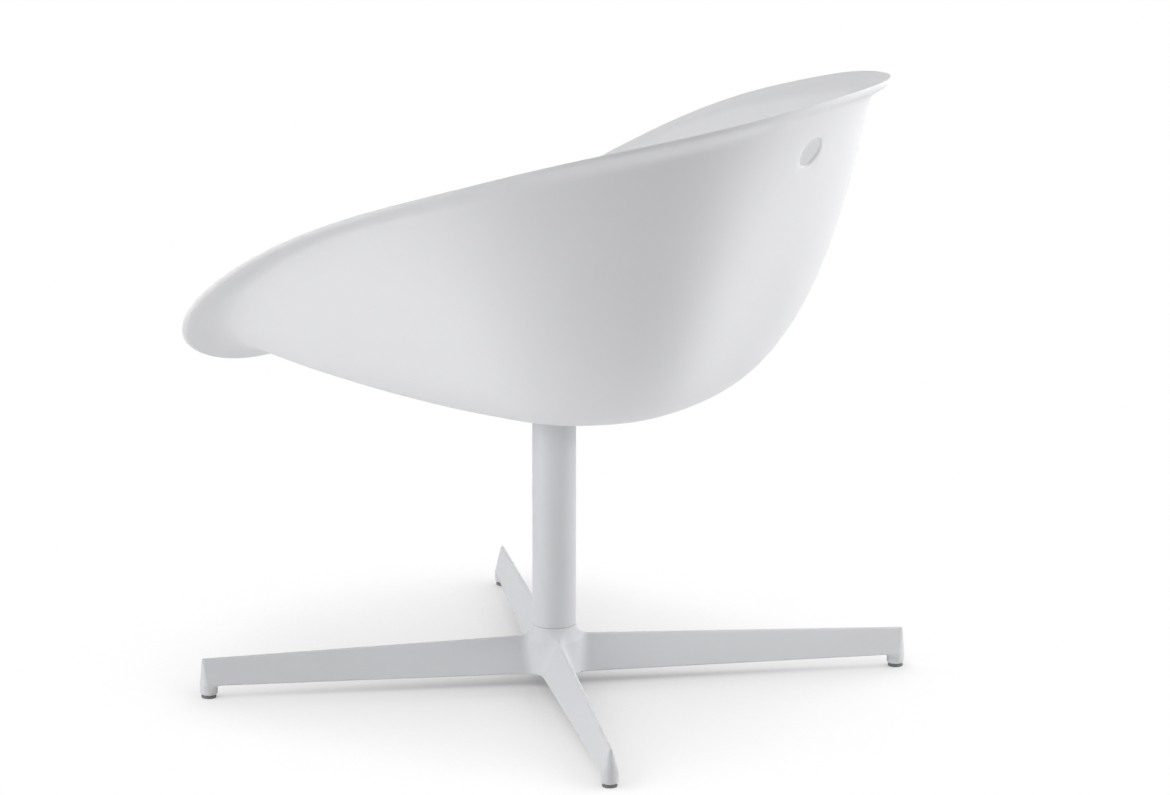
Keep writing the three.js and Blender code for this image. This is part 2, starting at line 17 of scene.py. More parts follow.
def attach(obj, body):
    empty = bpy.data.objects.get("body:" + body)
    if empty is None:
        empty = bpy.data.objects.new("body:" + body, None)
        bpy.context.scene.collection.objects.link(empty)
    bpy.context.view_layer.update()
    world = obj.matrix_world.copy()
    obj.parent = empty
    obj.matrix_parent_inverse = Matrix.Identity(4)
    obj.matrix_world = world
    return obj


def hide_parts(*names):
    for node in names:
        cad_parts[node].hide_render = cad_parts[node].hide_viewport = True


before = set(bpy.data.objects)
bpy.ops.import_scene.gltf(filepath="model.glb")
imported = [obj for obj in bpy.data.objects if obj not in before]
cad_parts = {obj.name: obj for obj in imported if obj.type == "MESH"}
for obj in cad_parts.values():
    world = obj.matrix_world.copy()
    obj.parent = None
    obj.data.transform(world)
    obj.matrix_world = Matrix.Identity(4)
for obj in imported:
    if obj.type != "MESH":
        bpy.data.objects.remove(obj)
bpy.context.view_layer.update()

LOG = logging.getLogger("chair")
MM = 0.001
SIDE_PER_ROUNDING = 2.2
IMAGE_WIDTH = 1170
IMAGE_HEIGHT = 795

Point = tuple[float, float]
Colour = tuple[float, float, float]


class Body(Enum):
    """The CAD bodies that pieces ride on."""

    BASE = "base"
    SEAT = "seat"


class Slot(Enum):
    """The record's material slots."""

    SHELL = "shell_plastic"
    PAINT = "white_paint"
    STEEL = "steel"
    ZINC = "zinc"
    BRASS = "brass"
    NYLON = "nylon"
    ACETAL = "acetal"
    RUBBER = "grey_rubber"


class Carve(Enum):
    """How one solid changes another."""

    CUT = "DIFFERENCE"
    JOIN = "UNION"


# Finishes


@dataclass(frozen=True)
class Finish:
    """A surface: its colour and sheen, and the fine relief that its making leaves."""

    name: str
    slot: Slot
    colour: Colour
    roughness: float
    metallic: float = 0.0
    grain: float = 0.6
    grain_depth: float = 0.02
    patch: float = 90.0
    tone_shift: float = 0.03
    roughness_shift: float = 0.06
    sheen_level: float = 0.5

    def relief_coordinates(self, nodes: "NodeSketch") -> bpy.types.NodeSocket:
        """The coordinates, in metres, that the fine relief is laid out in.

        Args:
            nodes: the material's nodes.

        Returns:
            The socket of the coordinates.
        """
        return nodes.coordinates

    def material(self) -> bpy.types.Material:
        """Makes the material, or finds it if it was made before.

        Returns:
            The material.
        """
        made = bpy.data.materials.get(self.name)
        if made is not None:
            return made
        nodes = NodeSketch(self.name)
        patches = nodes.noise(nodes.coordinates, self.patch, detail=4.0)
        grain = nodes.noise(self.relief_coordinates(nodes), self.grain, detail=3.0)
        dark = tuple(channel * (1.0 - self.tone_shift) for channel in self.colour)
        tone = nodes.mix_colour(patches, dark, self.colour)
        rough = nodes.spread(patches, self.roughness, self.roughness_shift)
        relief = nodes.bump(grain, self.grain_depth)
        nodes.surface(tone, rough, relief, self.metallic, self.sheen_level)
        return nodes.material

    def dress(self, piece: bpy.types.Object) -> None:
        """Gives a piece this finish in every slot.

        Args:
            piece: the object to dress.
        """
        piece.data.materials.clear()
        piece.data.materials.append(self.material())


@dataclass(frozen=True)
class TurnedFinish(Finish):
    """A lathe-turned surface, whose fine lines run round the swivel axis."""

    def relief_coordinates(self, nodes: "NodeSketch") -> bpy.types.NodeSocket:
        """Coordinates that stay the same round the axis.

        Args:
            nodes: the material's nodes.

        Returns:
            The socket of the coordinates.
        """
        return nodes.round_the_axis()


class NodeSketch:
    """The nodes of one material, added by what they do."""

    def __init__(self, name: str) -> None:
        """Starts a material with its output and shader.

        Args:
            name: the material's name.
        """
        self.material = bpy.data.materials.new(name)
        self.material.use_nodes = True
        self.tree = self.material.node_tree
        self.shader = self.tree.nodes["Principled BSDF"]
        self.coordinates = self._node("ShaderNodeTexCoord").outputs["Object"]

    def _node(self, kind: str) -> bpy.types.Node:
        """Adds a node of one kind."""
        return self.tree.nodes.new(kind)

    def link(self, start: bpy.types.NodeSocket, end: bpy.types.NodeSocket) -> None:
        """Joins an output to an input."""
        self.tree.links.new(start, end)

    def noise(self, place: bpy.types.NodeSocket, size: float, detail: float) -> bpy.types.NodeSocket:
        """Adds a noise pattern.

        Args:
            place: the coordinates in metres.
            size: the size of the pattern's blobs in millimetres.
            detail: how many finer layers it has.

        Returns:
            The pattern's value.
        """
        node = self._node("ShaderNodeTexNoise")
        node.inputs["Scale"].default_value = 1.0 / (size * MM)
        node.inputs["Detail"].default_value = detail
        self.link(place, node.inputs["Vector"])
        return node.outputs["Fac"]

    def math(self, operation: str, *values: bpy.types.NodeSocket | float) -> bpy.types.NodeSocket:
        """Adds a sum of sockets and numbers.

        Args:
            operation: the name of Blender's operation.
            values: its inputs in order.

        Returns:
            The result.
        """
        node = self._node("ShaderNodeMath")
        node.operation = operation
        for socket, value in zip(node.inputs, values):
            if isinstance(value, (int, float)):
                socket.default_value = value
            else:
                self.link(value, socket)
        return node.outputs["Value"]

    def round_the_axis(self) -> bpy.types.NodeSocket:
        """Coordinates of distance from the axis and height, the same all round it.

        Returns:
            The socket of the coordinates.
        """
        split = self._node("ShaderNodeSeparateXYZ")
        self.link(self.coordinates, split.inputs["Vector"])
        join = self._node("ShaderNodeCombineXYZ")
        self.link(self.reach(), join.inputs["X"])
        self.link(split.outputs["Z"], join.inputs["Y"])
        return join.outputs["Vector"]

    def reach(self) -> bpy.types.NodeSocket:
        """The distance from the axis in metres.

        Returns:
            The socket of the distance.
        """
        split = self._node("ShaderNodeSeparateXYZ")
        self.link(self.coordinates, split.inputs["Vector"])
        squares = [self.math("MULTIPLY", split.outputs[axis], split.outputs[axis]) for axis in "XY"]
        return self.math("SQRT", self.math("ADD", *squares))

    def openness(self, reach: float) -> bpy.types.NodeSocket:
        """How open the surface is to its surroundings.

        Args:
            reach: how far away, in millimetres, a piece can still shade the surface.

        Returns:
            The socket of a value that is 1 in the open.
        """
        node = self._node("ShaderNodeAmbientOcclusion")
        node.inputs["Distance"].default_value = reach * MM
        return node.outputs["AO"]

    def shades(self, value: bpy.types.NodeSocket, steps: Sequence[Point]) -> bpy.types.NodeSocket:
        """Reads a shade from a scale of greys.

        Args:
            value: where to read.
            steps: places on the scale, in order, and the brightness at each.

        Returns:
            The shade.
        """
        node = self._node("ShaderNodeValToRGB")
        scale = node.color_ramp.elements
        while len(scale) < len(steps):
            scale.new(1.0)
        for element, (place, brightness) in zip(scale, steps):
            element.position = place
            element.color = (brightness, brightness, brightness, 1.0)
        self.link(value, node.inputs["Fac"])
        return node.outputs["Color"]

    def mix_colour(self, share: bpy.types.NodeSocket, low: Colour, high: Colour) -> bpy.types.NodeSocket:
        """Mixes two colours by a pattern.

        Args:
            share: the pattern, from 0 to 1.
            low: the colour where it is 0.
            high: the colour where it is 1.

        Returns:
            The mixed colour.
        """
        node = self._node("ShaderNodeMix")
        node.data_type = "RGBA"
        node.inputs["A"].default_value = (*low, 1.0)
        node.inputs["B"].default_value = (*high, 1.0)
        self.link(share, node.inputs["Factor"])
        return node.outputs["Result"]

    def spread(self, share: bpy.types.NodeSocket, middle: float, shift: float) -> bpy.types.NodeSocket:
        """A value that a pattern moves up and down from its middle.

        Args:
            share: the pattern, from 0 to 1.
            middle: the value's middle.
            shift: how far it moves each way.

        Returns:
            The value.
        """
        node = self._node("ShaderNodeMapRange")
        node.inputs["To Min"].default_value = middle - shift
        node.inputs["To Max"].default_value = middle + shift
        self.link(share, node.inputs["Value"])
        return node.outputs["Result"]

    def bump(self, height: bpy.types.NodeSocket, depth: float) -> bpy.types.NodeSocket:
        """Raises the surface by a pattern.

        Args:
            height: the pattern, from 0 to 1.
            depth: the relief's depth in millimetres.

        Returns:
            The normal.
        """
        node = self._node("ShaderNodeBump")
        node.inputs["Distance"].default_value = depth * MM
        self.link(height, node.inputs["Height"])
        return node.outputs["Normal"]

    def surface(
        self,
        tone: bpy.types.NodeSocket,
        rough: bpy.types.NodeSocket,
        relief: bpy.types.NodeSocket,
        metallic: float,
        sheen_level: float,
    ) -> None:
        """Feeds the shader.

        Args:
            tone: the colour.
            rough: the roughness.
            relief: the normal.
            metallic: 1 for bare metal.
            sheen_level: how strongly a surface that isn't metal mirrors, 0.5 for a plain gloss.
        """
        self.link(tone, self.shader.inputs["Base Color"])
        self.link(rough, self.shader.inputs["Roughness"])
        self.link(relief, self.shader.inputs["Normal"])
        self.shader.inputs["Metallic"].default_value = metallic
        self.shader.inputs["Specular IOR Level"].default_value = sheen_level


def shown_rays(tree: bpy.types.NodeTree) -> bpy.types.NodeSocket:
    """Finds the rays that show the surroundings, to the camera or in a polished surface.

    Args:
        tree: the nodes to add to.

    Returns:
        A value of 1 for those rays, and of 0 for the rays that carry light.
    """
    path = tree.nodes.new("ShaderNodeLightPath")
    shown = path.outputs["Is Camera Ray"]
    for kind in ("Is Glossy Ray", "Is Transmission Ray"):
        either = tree.nodes.new("ShaderNodeMath")
        either.operation = "MAXIMUM"
        tree.links.new(shown, either.inputs[0])
        tree.links.new(path.outputs[kind], either.inputs[1])
        shown = either.outputs["Value"]
    return shown


MOULDED_WHITE = Finish(
    "moulded_white",
    Slot.SHELL,
    (0.855, 0.858, 0.875),
    0.56,
    grain=0.45,
    grain_depth=0.012,
    tone_shift=0.02,
    sheen_level=0.15,
)
POWDER_WHITE = Finish(
    "powder_white",
    Slot.PAINT,
    (0.71, 0.715, 0.735),
    0.55,
    grain=0.7,
    grain_depth=0.04,
    tone_shift=0.02,
    sheen_level=0.35,
)
TURNED_STEEL = TurnedFinish(
    "turned_steel", Slot.STEEL, (0.56, 0.57, 0.58), 0.32, 1.0, grain=0.35, grain_depth=0.01
)
ZINC_PLATE = Finish(
    "zinc_plate", Slot.ZINC, (0.66, 0.67, 0.7), 0.36, 1.0, grain=1.5, grain_depth=0.01, patch=8.0
)
TURNED_BRASS = TurnedFinish(
    "turned_brass", Slot.BRASS, (0.72, 0.56, 0.28), 0.34, 1.0, grain=0.4, grain_depth=0.01
)
NATURAL_NYLON = Finish("natural_nylon", Slot.NYLON, (0.8, 0.78, 0.72), 0.5, patch=20.0)
BLACK_ACETAL = Finish("black_acetal", Slot.ACETAL, (0.035, 0.035, 0.038), 0.42, patch=20.0)
GREY_RUBBER = Finish(
    "grey_rubber", Slot.RUBBER, (0.16, 0.16, 0.165), 0.7, grain=0.5, grain_depth=0.04, patch=12.0
)


# Meshes


def make_piece(name: str, points: np.ndarray, faces: Sequence[Sequence[int]]) -> bpy.types.Object:
    """Makes an object from points in millimetres.

    Args:
        name: the object's name.
        points: an array of n by 3.
        faces: the corners of each face.

    Returns:
        The object, shaded smooth.
    """
    mesh = bpy.data.meshes.new(name)
    mesh.from_pydata((np.asarray(points) * MM).tolist(), [], [list(map(int, face)) for face in faces])
    mesh.update()
    mesh.shade_smooth()
    piece = bpy.data.objects.new(name, mesh)
    bpy.context.scene.collection.objects.link(piece)
    return piece


def crease(piece: bpy.types.Object, degrees: float = 32.0) -> None:
    """Keeps the edges of a smooth piece sharp where its faces turn by more than an angle."""
    piece.data.set_sharp_from_angle(angle=math.radians(degrees))


def turned(
    name: str, outline: Sequence[Point], segments: int = 64, centre: Point = (0.0, 0.0)
) -> bpy.types.Object:
    """Turns an outline round a vertical axis.

    Args:
        name: the object's name.
        outline: radius and height of each point, in order round a closed section. An outline that starts and
            ends on the axis is closed there.
        segments: faces round the axis.
        centre: where the axis stands.

    Returns:
        The turned solid.
    """
    points: list[tuple[float, float, float]] = []
    rows: list[list[int]] = []
    for radius, height in outline:
        start = len(points)
        if radius == 0.0:
            points.append((*centre, height))
            rows.append([start] * segments)
            continue
        for i in range(segments):
            angle = 2.0 * math.pi * i / segments
            across, along = radius * math.cos(angle), radius * math.sin(angle)
            points.append((centre[0] + across, centre[1] + along, height))
        rows.append(list(range(start, start + segments)))
    on_axis = outline[0][0] == 0.0 and outline[-1][0] == 0.0
    if not on_axis:
        rows.append(rows[0])
    faces = []
    for low, high in zip(rows, rows[1:]):
        for i in range(segments):
            j = (i + 1) % segments
            corners = [low[i], low[j], high[j], high[i]]
            unique = [c for k, c in enumerate(corners) if c != corners[k - 1]]
            if len(unique) > 2:
                faces.append(unique)
    piece = make_piece(name, np.array(points), faces)
    crease(piece)
    return piece


def rounded(corners: Sequence[Point], radius: float, steps: int = 3, closed: bool = True) -> list[Point]:
    """Rounds the corners of an outline.

    Args:
        corners: the outline's corners in order.
        radius: how far from a corner the rounding starts, at most.
        steps: faces in each rounding.
        closed: whether the last corner joins the first, or both ends stay as they are.

    Returns:
        The points of the rounded outline.
    """
    points: list[Point] = []
    count = len(corners)
    for i, corner in enumerate(corners):
        if not closed and i in (0, count - 1):
            points.append(corner)
            continue
        here = Vector(corner)
        before = Vector(corners[i - 1]) - here
        after = Vector(corners[(i + 1) % count]) - here
        reach = min(radius, before.length / SIDE_PER_ROUNDING, after.length / SIDE_PER_ROUNDING)
        start = here + before.normalized() * reach
        end = here + after.normalized() * reach
        for step in range(steps + 1):
            share = step / steps
            point = start * (1 - share) ** 2 + here * (2 * share * (1 - share)) + end * share**2
            points.append((point.x, point.y))
    return points


def carve(target: bpy.types.Object, tools: Sequence[bpy.types.Object], how: Carve) -> None:
    """Cuts or joins a piece with other solids, which are used up.

    Args:
        target: the piece that changes.
        tools: the solids to cut or join with.
        how: whether they cut or join.
    """
    for tool in tools:
        modifier = target.modifiers.new(how.name, "BOOLEAN")
        modifier.operation = how.value
        modifier.solver = "EXACT"
        modifier.object = tool
    evaluated = target.evaluated_get(bpy.context.evaluated_depsgraph_get())
    mesh = bpy.data.meshes.new_from_object(evaluated)
    target.modifiers.clear()
    target.data = mesh
    for tool in tools:
        bpy.data.objects.remove(tool)


def wave_through(values: Sequence[float]) -> Callable[[np.ndarray], np.ndarray]:
    """A smooth wave, even about the chair's middle plane, through values at equal steps from back to front.

    Args:
        values: the values from the back to the front.

    Returns:
        The wave as a function of the angle from the back.
    """
    last = len(values) - 1
    order = np.arange(last + 1)
    ends = np.ones(last + 1)
    ends[[0, -1]] = 0.5
    weights = 2.0 / last * ends * (np.cos(np.pi * np.outer(order, order) / last) @ (ends * np.array(values)))
    return lambda angles: np.cos(np.outer(angles, order)) @ weights


# Seat


@dataclass
class SeatShell:
    """The moulded tub with its flared lip and the round hole in its back."""

    rim_reach: float = 384.0
    rim_reach_shares: tuple[float, ...] = (1, 0.97, 0.916, 0.892, 0.911, 0.957, 1.018, 1.051, 1.033, 1)
    back_height: float = 713.0
    front_height: float = 317.0
    rim_height_shares: tuple[float, ...] = (1, 0.974, 0.92, 0.851, 0.76, 0.636, 0.45, 0.237, 0.063, 0)
    lip_reach: float = 68.0
    lip_reach_shares: tuple[float, ...] = (0.458, 0.362, 0.299, 0.279, 0.337, 0.462, 0.628, 0.817, 0.981, 1)
    lip_drop: float = 28.0
    lip_drop_shares: tuple[float, ...] = (
        0.907, 1.013, 1.01, 0.94, 0.775, 0.543, 0.317, -0.02, -0.346, -0.465
    )
    lip_slope_degrees: tuple[float, ...] = (50, 50, 46, 40, 31, 19.5, 6, -11, -32, -41)
    lip_bend_share: float = 0.36
    lip_edge: float = 3.4
    rim_rounding: float = 7.5
    pad_radius: float = 77.0
    seat_underside: float = 324.0
    body_lean_degrees: tuple[float, ...] = (20.7, 13.7, 9.5, 13.3, 24, 37, 50.5, 62.5, 71, 73)
    seat_run_shares: tuple[float, ...] = (
        0.515, 0.403, 0.326, 0.338, 0.366, 0.429, 0.48, 0.538, 0.557, 0.554
    )
    back_run_shares: tuple[float, ...] = (0.8, 0.805, 0.8, 0.755, 0.642, 0.525, 0.41, 0.331, 0.282, 0.268)
    wall: float = 5.0
    hole_diameter: float = 34.0
    hole_below_rim: float = 69.6
    hole_rounding: float = 2.2
    stations: int = 256
    body_steps: int = 40
    lip_steps: int = 16
    edge_steps: int = 8
    hole_segments: int = 96
    hole_rounding_steps: int = 6
    hole_search_steps: int = 2000
    crease_degrees: float = 50.0
    overrun: float = 4.0

    @property
    def rim_turn(self) -> float:
        """The angle that the rim's rounding takes up."""
        return math.acos(1 - self.lip_edge / self.rim_rounding)

    def curves(self, angles: np.ndarray) -> dict[str, np.ndarray]:
        """The curves of the wall's outer skin at angles round the axis.

        Args:
            angles: the angles from the back, in radians.

        Returns:
            For each named curve, its four control points at each angle, and the centre and slope of the
            rim's rounding.
        """
        slope = np.radians(wave_through(self.lip_slope_degrees)(angles))
        lean = np.radians(wave_through(self.body_lean_degrees)(angles))
        outward = np.stack([np.cos(slope), np.sin(slope)], 1)
        downward = np.stack([np.sin(slope), -np.cos(slope)], 1)
        upward = np.stack([np.sin(lean), np.cos(lean)], 1)
        rise_to_back = self.back_height - self.front_height
        height = self.front_height + rise_to_back * wave_through(self.rim_height_shares)(angles)
        rim = np.stack([self.rim_reach * wave_through(self.rim_reach_shares)(angles), height], 1)
        lip_end = rim + downward * self.lip_edge - outward * self.rim_rounding * math.sin(self.rim_turn)
        drop = self.lip_drop * wave_through(self.lip_drop_shares)(angles)
        root = rim - np.stack([self.lip_reach * wave_through(self.lip_reach_shares)(angles), drop], 1)
        flat = np.tile([self.pad_radius, self.seat_underside], (len(angles), 1))
        run = (root[:, 0] - flat[:, 0]) * wave_through(self.seat_run_shares)(angles)
        rise = np.linalg.norm(root - flat, axis=1) * wave_through(self.back_run_shares)(angles)
        bend = np.linalg.norm(root - lip_end, axis=1) * self.lip_bend_share
        seat_control = flat + np.stack([run, np.zeros_like(run)], 1)
        body = np.stack([flat, seat_control, root - upward * rise[:, None], root], 1)
        lip = np.stack([root, root + upward * bend[:, None], lip_end - outward * bend[:, None], lip_end], 1)
        return {"body": body, "lip": lip, "centre": lip_end - downward * self.rim_rounding, "slope": slope}

    @staticmethod
    def along(controls: np.ndarray, shares: np.ndarray) -> tuple[np.ndarray, np.ndarray]:
        """Points and directions along cubic curves.

        Args:
            controls: the four control points of each curve.
            shares: how far along to go, from 0 to 1.

        Returns:
            The points and the unit directions, by curve and share.
        """
        p0, p1, p2, p3 = (controls[:, None, i, :] for i in range(4))
        t = shares[None, :, None]
        points = (1 - t) ** 3 * p0 + 3 * (1 - t) ** 2 * t * p1 + 3 * (1 - t) * t**2 * p2 + t**3 * p3
        ways = 3 * (1 - t) ** 2 * (p1 - p0) + 6 * (1 - t) * t * (p2 - p1) + 3 * t**2 * (p3 - p2)
        return points, ways / np.linalg.norm(ways, axis=2, keepdims=True)

    @staticmethod
    def inward(way: np.ndarray) -> np.ndarray:
        """The directions across the wall, from its outer skin to its inside."""
        return np.stack([-way[..., 1], way[..., 0]], -1)

    def profiles(self, angles: np.ndarray) -> np.ndarray:
        """The closed wall at each angle, from the underside round the edge to the inside.

        Args:
            angles: the angles from the back, in radians.

        Returns:
            Radius and height by angle and point.
        """
        curves = self.curves(angles)
        body_shares = np.linspace(0, 1, self.body_steps + 1)
        lip_shares = np.linspace(0, 1, self.lip_steps + 1)[1:]
        body, body_way = self.along(curves["body"], body_shares)
        lip, lip_way = self.along(curves["lip"], lip_shares)
        lip_wall = self.wall + (self.lip_edge - self.wall) * lip_shares[None, :, None]
        inner_body = body + self.inward(body_way) * self.wall
        inner_lip = lip + self.inward(lip_way) * lip_wall
        turns = self.rim_turn * np.arange(1, self.edge_steps + 1) / self.edge_steps - np.pi / 2
        turn = curves["slope"][:, None] + turns[None, :]
        nose = curves["centre"][:, None, :] + self.rim_rounding * np.stack([np.cos(turn), np.sin(turn)], -1)
        return np.concatenate([body, lip, nose, inner_lip[:, ::-1], inner_body[:, ::-1]], 1)

    def hole_place(self) -> tuple[Point, float]:
        """Where the hole's axis meets the back's outer skin, and how far the back leans there.

        Returns:
            Distance from the axis and height of the place, and the lean in radians.
        """
        shares = np.linspace(0, 1, self.hole_search_steps + 1)
        points, ways = self.along(self.curves(np.array([0.0]))["body"], shares)
        nearest = int(np.argmin(abs(points[0, :, 1] - (self.back_height - self.hole_below_rim))))
        way = ways[0, nearest]
        return tuple(points[0, nearest]), math.atan2(way[0], way[1])

    def hole_cutter(self) -> bpy.types.Object:
        """The solid that cuts the hole, rounding its rims on both faces.

        Returns:
            The cutter, in place.
        """
        radius = self.hole_diameter / 2
        wide = radius + self.hole_rounding
        quarter = np.linspace(0, np.pi / 2, self.hole_rounding_steps + 1)
        arc = [(self.hole_rounding * math.sin(q), self.hole_rounding * (1 - math.cos(q))) for q in quarter]
        inner = [(wide - across, -self.wall + deep) for across, deep in arc]
        outer = [(wide - across, -deep) for across, deep in arc[::-1]]
        far = self.wall + self.overrun
        outline = [(0.0, -far), (wide, -far), *inner, *outer, (wide, self.overrun), (0.0, self.overrun)]
        cutter = turned("hole_cutter", outline, self.hole_segments)
        (reach, height), lean = self.hole_place()
        turn = Matrix.Rotation(-math.pi / 2 - lean, 4, "X")
        cutter.matrix_world = Matrix.Translation(Vector((0, reach, height)) * MM) @ turn
        return cutter

    def build(self, finish: Finish) -> bpy.types.Object:
        """Builds the tub and dresses it.

        Args:
            finish: its finish.

        Returns:
            The piece.
        """
        angles = 2 * np.pi * np.arange(self.stations) / self.stations
        profiles = self.profiles(angles)
        count = profiles.shape[1]
        reach, height = profiles[..., 0], profiles[..., 1]
        skin = np.stack([reach * np.sin(angles)[:, None], reach * np.cos(angles)[:, None], height], -1)
        middle = [[0, 0, height[0, 0]], [0, 0, height[0, -1]]]
        points = np.concatenate([skin.reshape(-1, 3), middle])
        low, high = self.stations * count, self.stations * count + 1
        faces: list[list[int]] = []
        for i in range(self.stations):
            here, there = i * count, (i + 1) % self.stations * count
            faces += [[here + k, there + k, there + k + 1, here + k + 1] for k in range(count - 1)]
            faces.append([low, there, here])
            faces.append([high, here + count - 1, there + count - 1])
        shell = make_piece("seat_shell_moulding", points, [face[::-1] for face in faces])
        carve(shell, [self.hole_cutter()], Carve.CUT)
        shell.data.shade_smooth()
        crease(shell, self.crease_degrees)
        finish.dress(shell)
        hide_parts("seat_shell")
        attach(shell, Body.SEAT.value)
        return shell


@dataclass
class SeatPad:
    """The ribbed pad moulded under the seat, with a boss for each threaded insert."""

    seat_underside: float = 324.0
    into_wall: float = 2.5
    height: float = 5.0
    radius: float = 70.0
    rib: float = 3.0
    core: float = 16.0
    ribs: int = 8
    boss_radius: float = 10.0
    socket_radius: float = 5.05
    screw_circle: float = 54.0
    screws: int = 4
    rounding: float = 0.6
    ring_segments: int = 96
    boss_segments: int = 48
    socket_segments: int = 32

    def ring(self, name: str, outer: float) -> bpy.types.Object:
        """A round wall of the pad.

        Args:
            name: the wall's name.
            outer: its outer radius.

        Returns:
            The wall.
        """
        low, high = self.seat_underside - self.height, self.seat_underside + self.into_wall
        inner = outer - self.rib
        section = [(inner, low), (outer, low), (outer, high), (inner, high)]
        return turned(name, rounded(section, self.rounding), self.ring_segments)

    def bar(self, angle: float) -> bpy.types.Object:
        """One straight rib from the core to the outer ring.

        Args:
            angle: its direction in radians.

        Returns:
            The rib.
        """
        start, end = self.core - self.rib / 2, self.radius - self.rib / 2
        low, high = self.seat_underside - self.height, self.seat_underside + self.into_wall
        half = self.rib / 2
        plan = ((start, -half), (end, -half), (end, half), (start, half))
        corners = np.array([[x, y, z] for z in (low, high) for x, y in plan])
        cos, sin = math.cos(angle), math.sin(angle)
        corners[:, :2] = corners[:, :2] @ np.array([[cos, sin], [-sin, cos]])
        faces = [[3, 2, 1, 0], [4, 5, 6, 7], [0, 1, 5, 4], [1, 2, 6, 5], [2, 3, 7, 6], [3, 0, 4, 7]]
        return make_piece("pad_rib", corners, faces)

    def build(self, finish: Finish) -> bpy.types.Object:
        """Builds the pad and dresses it.

        Args:
            finish: its finish.

        Returns:
            The piece.
        """
        pad = self.ring("seat_pad_ribs", self.radius)
        low, high = self.seat_underside - self.height, self.seat_underside + self.into_wall
        added = [self.ring("pad_core", self.core)]
        sockets = []
        for i in range(self.screws):
            angle = (i + 0.5) * 2 * math.pi / self.screws
            centre = (self.screw_circle * math.cos(angle), self.screw_circle * math.sin(angle))
            boss = [(0.0, low), (self.boss_radius, low), (self.boss_radius, high), (0.0, high)]
            added.append(turned("pad_boss", boss, self.boss_segments, centre))
            socket = [(0.0, low - self.into_wall), (self.socket_radius, low - self.into_wall)]
            socket += [(self.socket_radius, high + self.into_wall), (0.0, high + self.into_wall)]
            sockets.append(turned("pad_socket", socket, self.socket_segments, centre))
        added += [self.bar(2 * math.pi * i / self.ribs) for i in range(self.ribs)]
        carve(pad, added, Carve.JOIN)
        carve(pad, sockets, Carve.CUT)
        pad.data.shade_smooth()
        crease(pad)
        finish.dress(pad)
        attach(pad, Body.SEAT.value)
        return pad


# Base


def lattice_skin(
    distance: Callable[[np.ndarray], np.ndarray],
    blocks: Sequence[tuple[Sequence[float], Sequence[float]]],
    step: float,
) -> tuple[np.ndarray, np.ndarray]:
    """The skin where a distance is zero, in four-sided faces.

    It has a corner in each cell of a lattice that it crosses.

    Args:
        distance: gives the signed distance at points of n by 3, below zero inside.
        blocks: lowest and highest corners of the blocks to look in, which may overlap.
        step: the lattice's step.

    Returns:
        The corners and the faces.
    """
    span = 4096
    keys, places, quads = [], [], []
    steps = np.array([[i, j, k] for i in (0, 1) for j in (0, 1) for k in (0, 1)])
    for low, high in blocks:
        first = np.floor(np.array(low) / step).astype(int)
        last = np.ceil(np.array(high) / step).astype(int)
        axes = [np.arange(a, b + 1) for a, b in zip(first, last)]
        shape = tuple(len(axis) for axis in axes)
        grid = np.stack(np.meshgrid(*axes, indexing="ij"), -1).reshape(-1, 3)
        value = distance((grid + 0.5) * step).reshape(shape)
        inside = value < 0
        size = np.array(shape) - 1
        windows = [tuple(slice(a, a + n) for a, n in zip(s, size)) for s in steps]
        filled = sum(inside[window].astype(int) for window in windows)
        cells = np.argwhere((filled > 0) & (filled < len(steps)))
        corner = np.stack([value[tuple((cells + s).T)] for s in steps], 1)
        total, crossings = np.zeros((len(cells), 3)), np.zeros(len(cells))
        for a in range(8):
            for b in range(a + 1, 8):
                if abs(steps[b] - steps[a]).sum() != 1:
                    continue
                cross = (corner[:, a] < 0) != (corner[:, b] < 0)
                share = np.where(cross, corner[:, a] / np.where(cross, corner[:, a] - corner[:, b], 1), 0)
                total += cross[:, None] * (steps[a] + share[:, None] * (steps[b] - steps[a]))
                crossings += cross
        numbers = cells + first + span // 2
        keys.append(numbers @ np.array([span * span, span, 1]))
        places.append((cells + first + total / crossings[:, None] + 0.5) * step)
        for axis in range(3):
            u, v = (axis + 1) % 3, (axis + 2) % 3
            near = np.moveaxis(inside, (axis, u, v), (0, 1, 2))
            change = near[:-1, 1:-1, 1:-1] != near[1:, 1:-1, 1:-1]
            found = np.argwhere(change)
            outward = near[:-1, 1:-1, 1:-1][change]
            base = np.zeros((len(found), 3), int)
            base[:, [axis, u, v]] = found
            base += first + span // 2
            ring = []
            for du, dv in ((0, 0), (1, 0), (1, 1), (0, 1)):
                cell = base.copy()
                cell[:, u] += du
                cell[:, v] += dv
                ring.append(cell @ np.array([span * span, span, 1]))
            ring = np.stack(ring, 1)
            ring[~outward] = ring[~outward, ::-1]
            quads.append(ring)
    key, chosen = np.unique(np.concatenate(keys), return_index=True)
    faces = np.unique(np.concatenate(quads), axis=0)
    return np.concatenate(places)[chosen], np.searchsorted(key, faces)


def soft_min(a: np.ndarray, b: np.ndarray, blend: float) -> np.ndarray:
    """The lower of two distances, with a fillet where they meet."""
    share = np.clip(1.0 - np.abs(a - b) / blend, 0.0, None)
    return np.minimum(a, b) - share * share * blend / 4.0


def soft_max(a: np.ndarray, b: np.ndarray, blend: float) -> np.ndarray:
    """The higher of two distances, with a rounding where they meet."""
    return -soft_min(-a, -b, blend)


